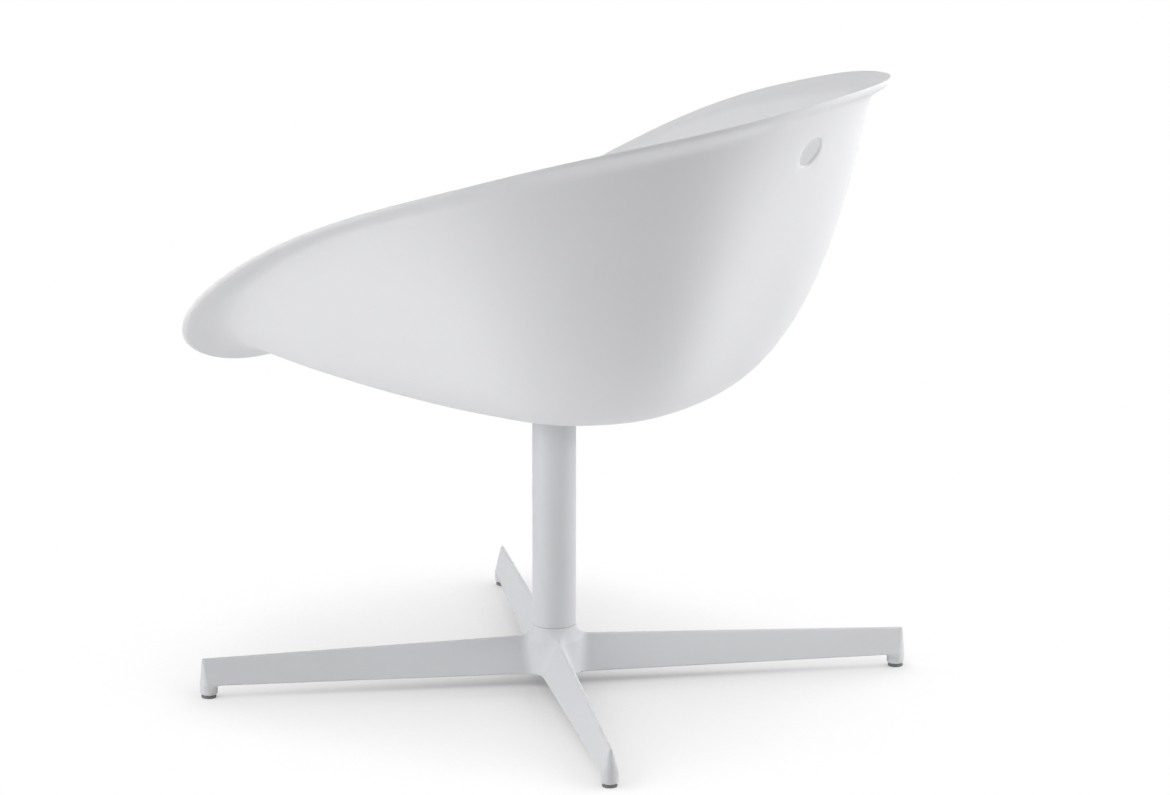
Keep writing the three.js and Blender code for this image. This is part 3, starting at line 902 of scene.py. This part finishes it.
@dataclass
class StarBase:
    """The die-cast hub and its four tapered legs, open and ribbed underneath."""

    hub_radius: float = 27.5
    hub_top: float = 67.0
    hub_shoulder: float = 50.0
    column_radius: float = 24.0
    hub_blend: float = 13.0
    spigot_radius: float = 21.2
    spigot_height: float = 5.0
    hub_pocket_radius: float = 15.0
    hub_deck: float = 13.0
    bolt_hole_radius: float = 5.3
    underside: float = 15.0
    ridge_at_hub: float = 55.0
    ridge_at_tip: float = 44.5
    half_width_at_hub: float = 18.7
    taper_start: float = 24.5
    ridge_rounding: float = 1.6
    foot_circle: float = 382.0
    foot_radius: float = 9.7
    tip_rake: float = 7.4
    foot_bottom: float = 3.5
    foot_chamfer_reach: float = 1.4
    foot_chamfer_height: float = 2.6
    foot_fillet: float = 4.5
    stem_radius: float = 3.8
    stem_top: float = 17.8
    leg_wall: float = 3.4
    leg_ribs: int = 5
    leg_rib: float = 3.0
    pocket_start: float = 42.0
    pocket_roof: float = 8.0
    edge_rounding: float = 1.6
    step: float = 1.2
    margin_steps: int = 3
    settling_rounds: int = 3
    foot_chamfer_power: float = 1.5
    turn_degrees: float = 45.0

    def ridge(self, reach: np.ndarray) -> np.ndarray:
        """The height of a leg's ridge.

        Args:
            reach: distances from the axis.

        Returns:
            The heights.
        """
        tip = self.foot_circle + self.tip_rake
        share = np.clip((reach - self.hub_radius) / (tip - self.hub_radius), 0.0, 1.0)
        return self.ridge_at_hub + (self.ridge_at_tip - self.ridge_at_hub) * share

    def half_width(self, reach: np.ndarray) -> np.ndarray:
        """Half the width of a leg's underside at distances from the axis."""
        share = np.clip((reach - self.taper_start) / (self.foot_circle - self.taper_start), 0.0, 1.0)
        return self.half_width_at_hub + (self.foot_radius - self.half_width_at_hub) * share

    def flank(self, x: np.ndarray, y: np.ndarray, z: np.ndarray) -> tuple[np.ndarray, np.ndarray]:
        """How far points lie outside a leg's sloping sides and round tip.

        Args:
            x: distances along the leg.
            y: distances across it.
            z: heights.

        Returns:
            The distances, and half the leg's width at each point.
        """
        deep = self.ridge(x) - self.underside
        share = np.clip((z - self.underside) / deep, 0.0, 1.0)
        low = self.half_width(x)
        wide = low + (self.ridge_rounding - low) * share
        lean = (low - self.ridge_rounding) / deep
        tip = self.foot_circle + (self.tip_rake - self.ridge_rounding) * share
        beyond = np.maximum(x - tip, 0.0)
        return (np.hypot(beyond, y) - wide) / np.sqrt(1.0 + lean * lean), wide

    def leg(self, x: np.ndarray, y: np.ndarray, z: np.ndarray) -> np.ndarray:
        """Distance from a solid leg that lies along x.

        Args:
            x: distances along the leg.
            y: distances across it.
            z: heights.

        Returns:
            The distances, below zero inside.
        """
        side, _ = self.flank(x, y, z)
        crown = soft_max(side, z - self.ridge(x), 2 * self.edge_rounding)
        return soft_max(crown, self.underside - z, self.edge_rounding)

    def foot(self, x: np.ndarray, y: np.ndarray, z: np.ndarray) -> np.ndarray:
        """Distance from the round post that a leg stands on, with its fillet and chamfer.

        Args:
            x: distances along the leg.
            y: distances across it.
            z: heights.

        Returns:
            The distances, below zero inside.
        """
        reach = np.hypot(x - self.foot_circle, y)
        rise = np.clip(z - (self.underside - self.foot_fillet), 0.0, self.foot_fillet)
        flare = self.foot_fillet - np.sqrt(self.foot_fillet**2 - rise**2)
        above = (z - self.foot_bottom) / self.foot_chamfer_height
        chamfer = np.clip(1.0 - above, 0.0, 1.0)
        notch = self.foot_chamfer_reach * chamfer**self.foot_chamfer_power
        post = reach - (self.foot_radius + flare - notch)
        side = self.flank(x, y, np.full_like(z, self.underside))[0]
        whole = np.maximum(np.maximum(post, side), z - self.underside - self.edge_rounding)
        return soft_max(whole, self.foot_bottom - z, self.edge_rounding / 2)

    def pockets(self, x: np.ndarray, y: np.ndarray, z: np.ndarray) -> np.ndarray:
        """Distance from the hollows between the ribs under a leg.

        Args:
            x: distances along the leg.
            y: distances across it.
            z: heights.

        Returns:
            The distances, below zero in a hollow.
        """
        end = self.foot_circle - self.foot_radius - self.foot_fillet
        pitch = (end - self.pocket_start + self.leg_rib) / self.leg_ribs
        length = pitch - self.leg_rib
        along = np.mod(x - self.pocket_start, pitch)
        gap = np.abs(along - length / 2) - length / 2
        gap = np.maximum(gap, np.maximum(self.pocket_start - x, x - end))
        side = np.abs(y) - (self.flank(x, y, z)[1] - self.leg_wall)
        hollow = soft_max(side, z - (self.ridge(x) - self.pocket_roof), self.edge_rounding)
        return soft_max(hollow, gap, self.edge_rounding)

    def hub(self, reach: np.ndarray, z: np.ndarray) -> np.ndarray:
        """Distance from the hub, which draws in to the column's radius at its top.

        Args:
            reach: distances from the axis.
            z: heights.

        Returns:
            The distances, below zero inside.
        """
        share = np.clip((z - self.hub_shoulder) / (self.hub_top - self.hub_shoulder), 0.0, 1.0)
        wide = self.column_radius + (self.hub_radius - self.column_radius) * (1.0 - share) ** 2
        return np.maximum(reach - wide, self.underside - z)

    def distance(self, points: np.ndarray) -> np.ndarray:
        """Distance from the whole casting, with the legs along the lattice's axes.

        Args:
            points: the places, n by 3.

        Returns:
            The distances, below zero in the metal.
        """
        x = np.abs(points[:, :2]).max(1)
        y = np.abs(points[:, :2]).min(1)
        z = points[:, 2]
        reach = np.hypot(x, y)
        legs = soft_min(self.leg(x, y, z), self.leg(y, x, z), self.hub_blend)
        solid = soft_min(legs, self.hub(reach, z), self.hub_blend)
        solid = np.maximum(solid, self.underside - z)
        solid = soft_max(solid, z - self.hub_top, self.edge_rounding / 2)
        spigot = np.maximum(reach - self.spigot_radius, z - self.hub_top - self.spigot_height)
        solid = np.minimum(solid, np.maximum(spigot, self.underside - z))
        solid = np.minimum(solid, self.foot(x, y, z))
        solid = soft_max(solid, -self.pockets(x, y, z), self.edge_rounding)
        well = np.maximum(reach - self.hub_pocket_radius, z - (self.hub_top - self.hub_deck))
        solid = soft_max(solid, -well, self.edge_rounding)
        solid = np.maximum(solid, self.bolt_hole_radius - reach)
        stem = np.maximum(np.hypot(x - self.foot_circle, y) - self.stem_radius, z - self.stem_top)
        return np.maximum(solid, -stem)

    def slope(self, points: np.ndarray) -> np.ndarray:
        """The direction in which the distance grows, by small steps each way.

        Args:
            points: the places, n by 3.

        Returns:
            The directions.
        """
        small = self.step / 10
        moves = np.eye(3) * small
        rises = [self.distance(points + move) - self.distance(points - move) for move in moves]
        return np.stack(rises, 1) / (2 * small)

    def build(self, finish: Finish) -> bpy.types.Object:
        """Builds the casting and dresses it.

        Args:
            finish: its finish.

        Returns:
            The piece.
        """
        margin = self.step * self.margin_steps
        middle = self.hub_radius * 2 + margin
        start = middle - margin
        end = self.foot_circle + self.foot_radius + margin
        wide = self.half_width_at_hub + margin
        bottom = self.foot_bottom - self.step * 2
        top = self.ridge_at_hub + margin
        below = self.underside - margin
        blocks = [((-middle, -middle, below), (middle, middle, self.hub_top + self.hub_deck))]
        blocks += [((start, -wide, bottom), (end, wide, top)), ((-end, -wide, bottom), (-start, wide, top))]
        blocks += [((-wide, start, bottom), (wide, end, top)), ((-wide, -end, bottom), (wide, -start, top))]
        points, faces = lattice_skin(self.distance, blocks, self.step)
        for _ in range(self.settling_rounds):
            way = self.slope(points)
            size = np.maximum((way * way).sum(1), 0.25)
            shift = self.distance(points) / size
            points = points - way * np.clip(shift, -self.step / 2, self.step / 2)[:, None]
        normals = self.slope(points)
        normals /= np.maximum(np.linalg.norm(normals, axis=1, keepdims=True), 1e-6)
        angle = math.radians(self.turn_degrees)
        cos, sin = math.cos(angle), math.sin(angle)
        turn = np.array([[cos, sin, 0], [-sin, cos, 0], [0, 0, 1]])
        base = make_piece("star_base_casting", points @ turn, faces)
        base.data.normals_split_custom_set_from_vertices((normals @ turn).tolist())
        finish.dress(base)
        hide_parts("star_base")
        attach(base, Body.BASE.value)
        return base


@dataclass
class Column:
    """The round tube that stands on the hub."""

    radius: float = 24.0
    wall: float = 2.5
    bottom: float = 67.3
    top: float = 298.0
    rounding: float = 0.5
    segments: int = 128

    def build(self, finish: Finish) -> bpy.types.Object:
        """Builds the tube and dresses it.

        Args:
            finish: its finish.

        Returns:
            The piece.
        """
        inner = self.radius - self.wall
        section = [(inner, self.bottom), (self.radius, self.bottom)]
        section += [(self.radius, self.top), (inner, self.top)]
        tube = turned("column_tube_painted", rounded(section, self.rounding), self.segments)
        finish.dress(tube)
        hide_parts("column_tube")
        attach(tube, Body.BASE.value)
        return tube


@dataclass
class Glides:
    """The small grey feet pushed into the legs."""

    count: int = 4
    circle: float = 382.0
    radius: float = 8.2
    thickness: float = 3.2
    stem_radius: float = 3.5
    stem_top: float = 17.5
    rounding: float = 0.9
    segments: int = 48

    def build(self, finish: Finish) -> list[bpy.types.Object]:
        """Builds the glides and dresses them.

        Args:
            finish: their finish.

        Returns:
            The pieces.
        """
        section = [(0.0, 0.0), (self.radius, 0.0), (self.radius, self.thickness)]
        section += [(self.stem_radius, self.thickness), (self.stem_radius, self.stem_top)]
        section.append((0.0, self.stem_top))
        outline = rounded(section, self.rounding, closed=False)
        made = []
        for i in range(self.count):
            angle = (i + 0.5) * 2 * math.pi / self.count
            centre = (self.circle * math.cos(angle), self.circle * math.sin(angle))
            glide = turned(f"glide_foot_{i + 1}", outline, self.segments, centre)
            finish.dress(glide)
            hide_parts(f"glide_{i + 1}")
            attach(glide, Body.BASE.value)
            made.append(glide)
        return made


@dataclass
class Hardware:
    """The CAD pieces that are shown as they are, with softened edges and their own finishes."""

    edge: float = 0.3
    edge_segments: int = 2
    crease_degrees: float = 30.0
    finishes: dict[str, Finish] = field(
        default_factory=lambda: {
            "seat_plate": TURNED_STEEL,
            "spindle": TURNED_STEEL,
            "shell_insert": TURNED_BRASS,
            "plate_screw": ZINC_PLATE,
            "retaining_washer": ZINC_PLATE,
            "retaining_ring": TURNED_STEEL,
            "column_plug": TURNED_STEEL,
            "upper_bush": NATURAL_NYLON,
            "lower_bush": NATURAL_NYLON,
            "thrust_washer": BLACK_ACETAL,
            "base_washer": ZINC_PLATE,
            "base_bolt": ZINC_PLATE,
        }
    )

    def build(self) -> list[bpy.types.Object]:
        """Dresses each CAD node that no other class replaces.

        Returns:
            The nodes.
        """
        shown = []
        for name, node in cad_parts.items():
            kind = name.rstrip("0123456789").rstrip("_")
            if kind not in self.finishes:
                continue
            self.finishes[kind].dress(node)
            bevel = node.modifiers.new("edges", "BEVEL")
            bevel.width = self.edge * MM
            bevel.segments = self.edge_segments
            bevel.limit_method = "ANGLE"
            bevel.angle_limit = math.radians(self.crease_degrees)
            bevel.harden_normals = True
            node.data.shade_smooth()
            crease(node, self.crease_degrees)
            shown.append(node)
        return shown


# Studio


@dataclass
class Softbox:
    """A square area lamp that looks at the chair from some way round it, counted from the camera."""

    name: str
    round_degrees: float
    rise_degrees: float
    watts: float
    size: float = 1.4
    distance: float = 2.6
    aim: tuple[float, float, float] = (0.0, 0.0, 0.45)

    def build(self, camera_azimuth: float) -> bpy.types.Object:
        """Makes the lamp.

        Args:
            camera_azimuth: the camera's own place round the chair, in degrees.

        Returns:
            The lamp's object.
        """
        turn = math.radians(camera_azimuth + self.round_degrees)
        rise = math.radians(self.rise_degrees)
        level = Vector((math.sin(turn), -math.cos(turn), 0.0))
        out = level * math.cos(rise) + Vector((0, 0, math.sin(rise)))
        lamp = bpy.data.lights.new(self.name, "AREA")
        lamp.shape = "SQUARE"
        lamp.size = self.size
        lamp.energy = self.watts
        made = bpy.data.objects.new(self.name, lamp)
        made.location = Vector(self.aim) + out * self.distance
        made.rotation_mode = "QUATERNION"
        made.rotation_quaternion = out.to_track_quat("Z", "Y")
        bpy.context.scene.collection.objects.link(made)
        return made


@dataclass
class Studio:
    """The white floor, the surroundings, the lamps and the camera."""

    floor_size: float = 24.0
    floor_colour: Colour = (0.9, 0.9, 0.9)
    # Painted shadow: the greys the floor glows with, read from how open it is within shade_reach, stand in
    # for the chair's shadow.
    shade_reach: float = 450.0
    floor_shades: tuple[Point, ...] = (
        (0.1, 0.28), (0.25, 0.46), (0.45, 0.73), (0.6, 0.82), (0.77, 0.88), (0.88, 1.0)
    )
    azimuth_degrees: float = 126.0
    elevation_degrees: float = 15.05
    mm_per_pixel: float = 1.1
    distance_pixels: float = 8000.0
    origin_pixel: Point = (554.4, 681.0)
    sensor: float = 36.0
    lamps: list[Softbox] = field(
        default_factory=lambda: [
            Softbox("right_low", 90.0, 8.0, 22.5),
            Softbox("right_high", 90.0, 32.0, 22.0),
            Softbox("right_top", 60.0, 60.0, 12.5),
            Softbox("behind_right", 150.0, 32.0, 22.0),
            Softbox("behind_left", 240.0, 32.0, 9.5),
            Softbox("left_high", 270.0, 32.0, 10.5),
            Softbox("front_left_high", 300.0, 32.0, 6.0),
            Softbox("left_low", 300.0, 8.0, 29.0),
            Softbox("front_low", 0.0, 8.0, 6.0),
        ]
    )

    def floor(self) -> bpy.types.Object:
        """Lays the floor, a matt white for the light it passes on, which the camera and reflections see as a
        glow with a painted shadow of the chair, greyer where the floor is less open.

        Returns:
            The floor.
        """
        half = self.floor_size / 2 / MM
        corners = np.array([[-half, -half, 0], [half, -half, 0], [half, half, 0], [-half, half, 0]])
        floor = make_piece("studio_floor", corners, [[0, 1, 2, 3]])
        sketch = NodeSketch("studio_white_painted_shadow")
        tree = sketch.tree
        tree.nodes.remove(sketch.shader)
        matt = tree.nodes.new("ShaderNodeBsdfDiffuse")
        matt.inputs["Color"].default_value = (*self.floor_colour, 1.0)
        # Painted shadow: the glow that the camera and reflections see is greyed by how open the floor is,
        # not by the lamps.
        painted_shadow_glow = tree.nodes.new("ShaderNodeEmission")
        shade = sketch.shades(sketch.openness(self.shade_reach), self.floor_shades)
        sketch.link(shade, painted_shadow_glow.inputs["Color"])
        either = tree.nodes.new("ShaderNodeMixShader")
        sketch.link(shown_rays(tree), either.inputs["Fac"])
        sketch.link(matt.outputs["BSDF"], either.inputs[1])
        sketch.link(painted_shadow_glow.outputs["Emission"], either.inputs[2])
        sketch.link(either.outputs["Shader"], tree.nodes["Material Output"].inputs["Surface"])
        floor.data.materials.append(sketch.material)
        return floor

    def surroundings(self) -> None:
        """Makes the world white to the eye and in reflections, while all the light comes from the lamps."""
        world = bpy.data.worlds.new("studio")
        bpy.context.scene.world = world
        world.use_nodes = True
        tree = world.node_tree
        background = tree.nodes["Background"]
        background.inputs["Color"].default_value = (1.0, 1.0, 1.0, 1.0)
        tree.links.new(shown_rays(tree), background.inputs["Strength"])

    def camera(self) -> bpy.types.Object:
        """Sets the camera as the photograph's: its angle, its distance and where the axis meets the floor.

        Returns:
            The camera.
        """
        turn, rise = math.radians(self.azimuth_degrees), math.radians(self.elevation_degrees)
        right = Vector((math.cos(turn), math.sin(turn), 0.0))
        away = Vector((-math.sin(turn), math.cos(turn), 0.0))
        forward = away * math.cos(rise) - Vector((0, 0, 1)) * math.sin(rise)
        up = right.cross(forward)
        across = self.origin_pixel[0] - IMAGE_WIDTH / 2
        below = IMAGE_HEIGHT / 2 - self.origin_pixel[1]
        metres = self.mm_per_pixel * MM
        data = bpy.data.cameras.new("camera")
        data.sensor_width = self.sensor
        data.lens = self.sensor * self.distance_pixels / IMAGE_WIDTH
        camera = bpy.data.objects.new("camera", data)
        place = (right * across + up * below + forward * self.distance_pixels) * -metres
        camera.matrix_world = Matrix.Translation(place) @ Matrix((right, up, -forward)).transposed().to_4x4()
        bpy.context.scene.collection.objects.link(camera)
        bpy.context.scene.camera = camera
        return camera

    def build(self) -> None:
        """Builds the studio."""
        self.floor()
        self.surroundings()
        self.camera()
        for lamp in self.lamps:
            lamp.build(self.azimuth_degrees)
        bpy.context.scene.view_settings.view_transform = "Standard"


def main() -> None:
    """Builds the chair and the studio, and reports each piece."""
    logging.basicConfig(level=logging.INFO, format="%(name)s: %(message)s")
    pieces = [
        SeatShell().build(MOULDED_WHITE),
        SeatPad().build(MOULDED_WHITE),
        StarBase().build(POWDER_WHITE),
        Column().build(POWDER_WHITE),
        *Glides().build(GREY_RUBBER),
        *Hardware().build(),
    ]
    for piece in pieces:
        LOG.info("%s: %d faces", piece.name, len(piece.data.polygons))
    Studio().build()


if __name__ == "__main__":
    main()
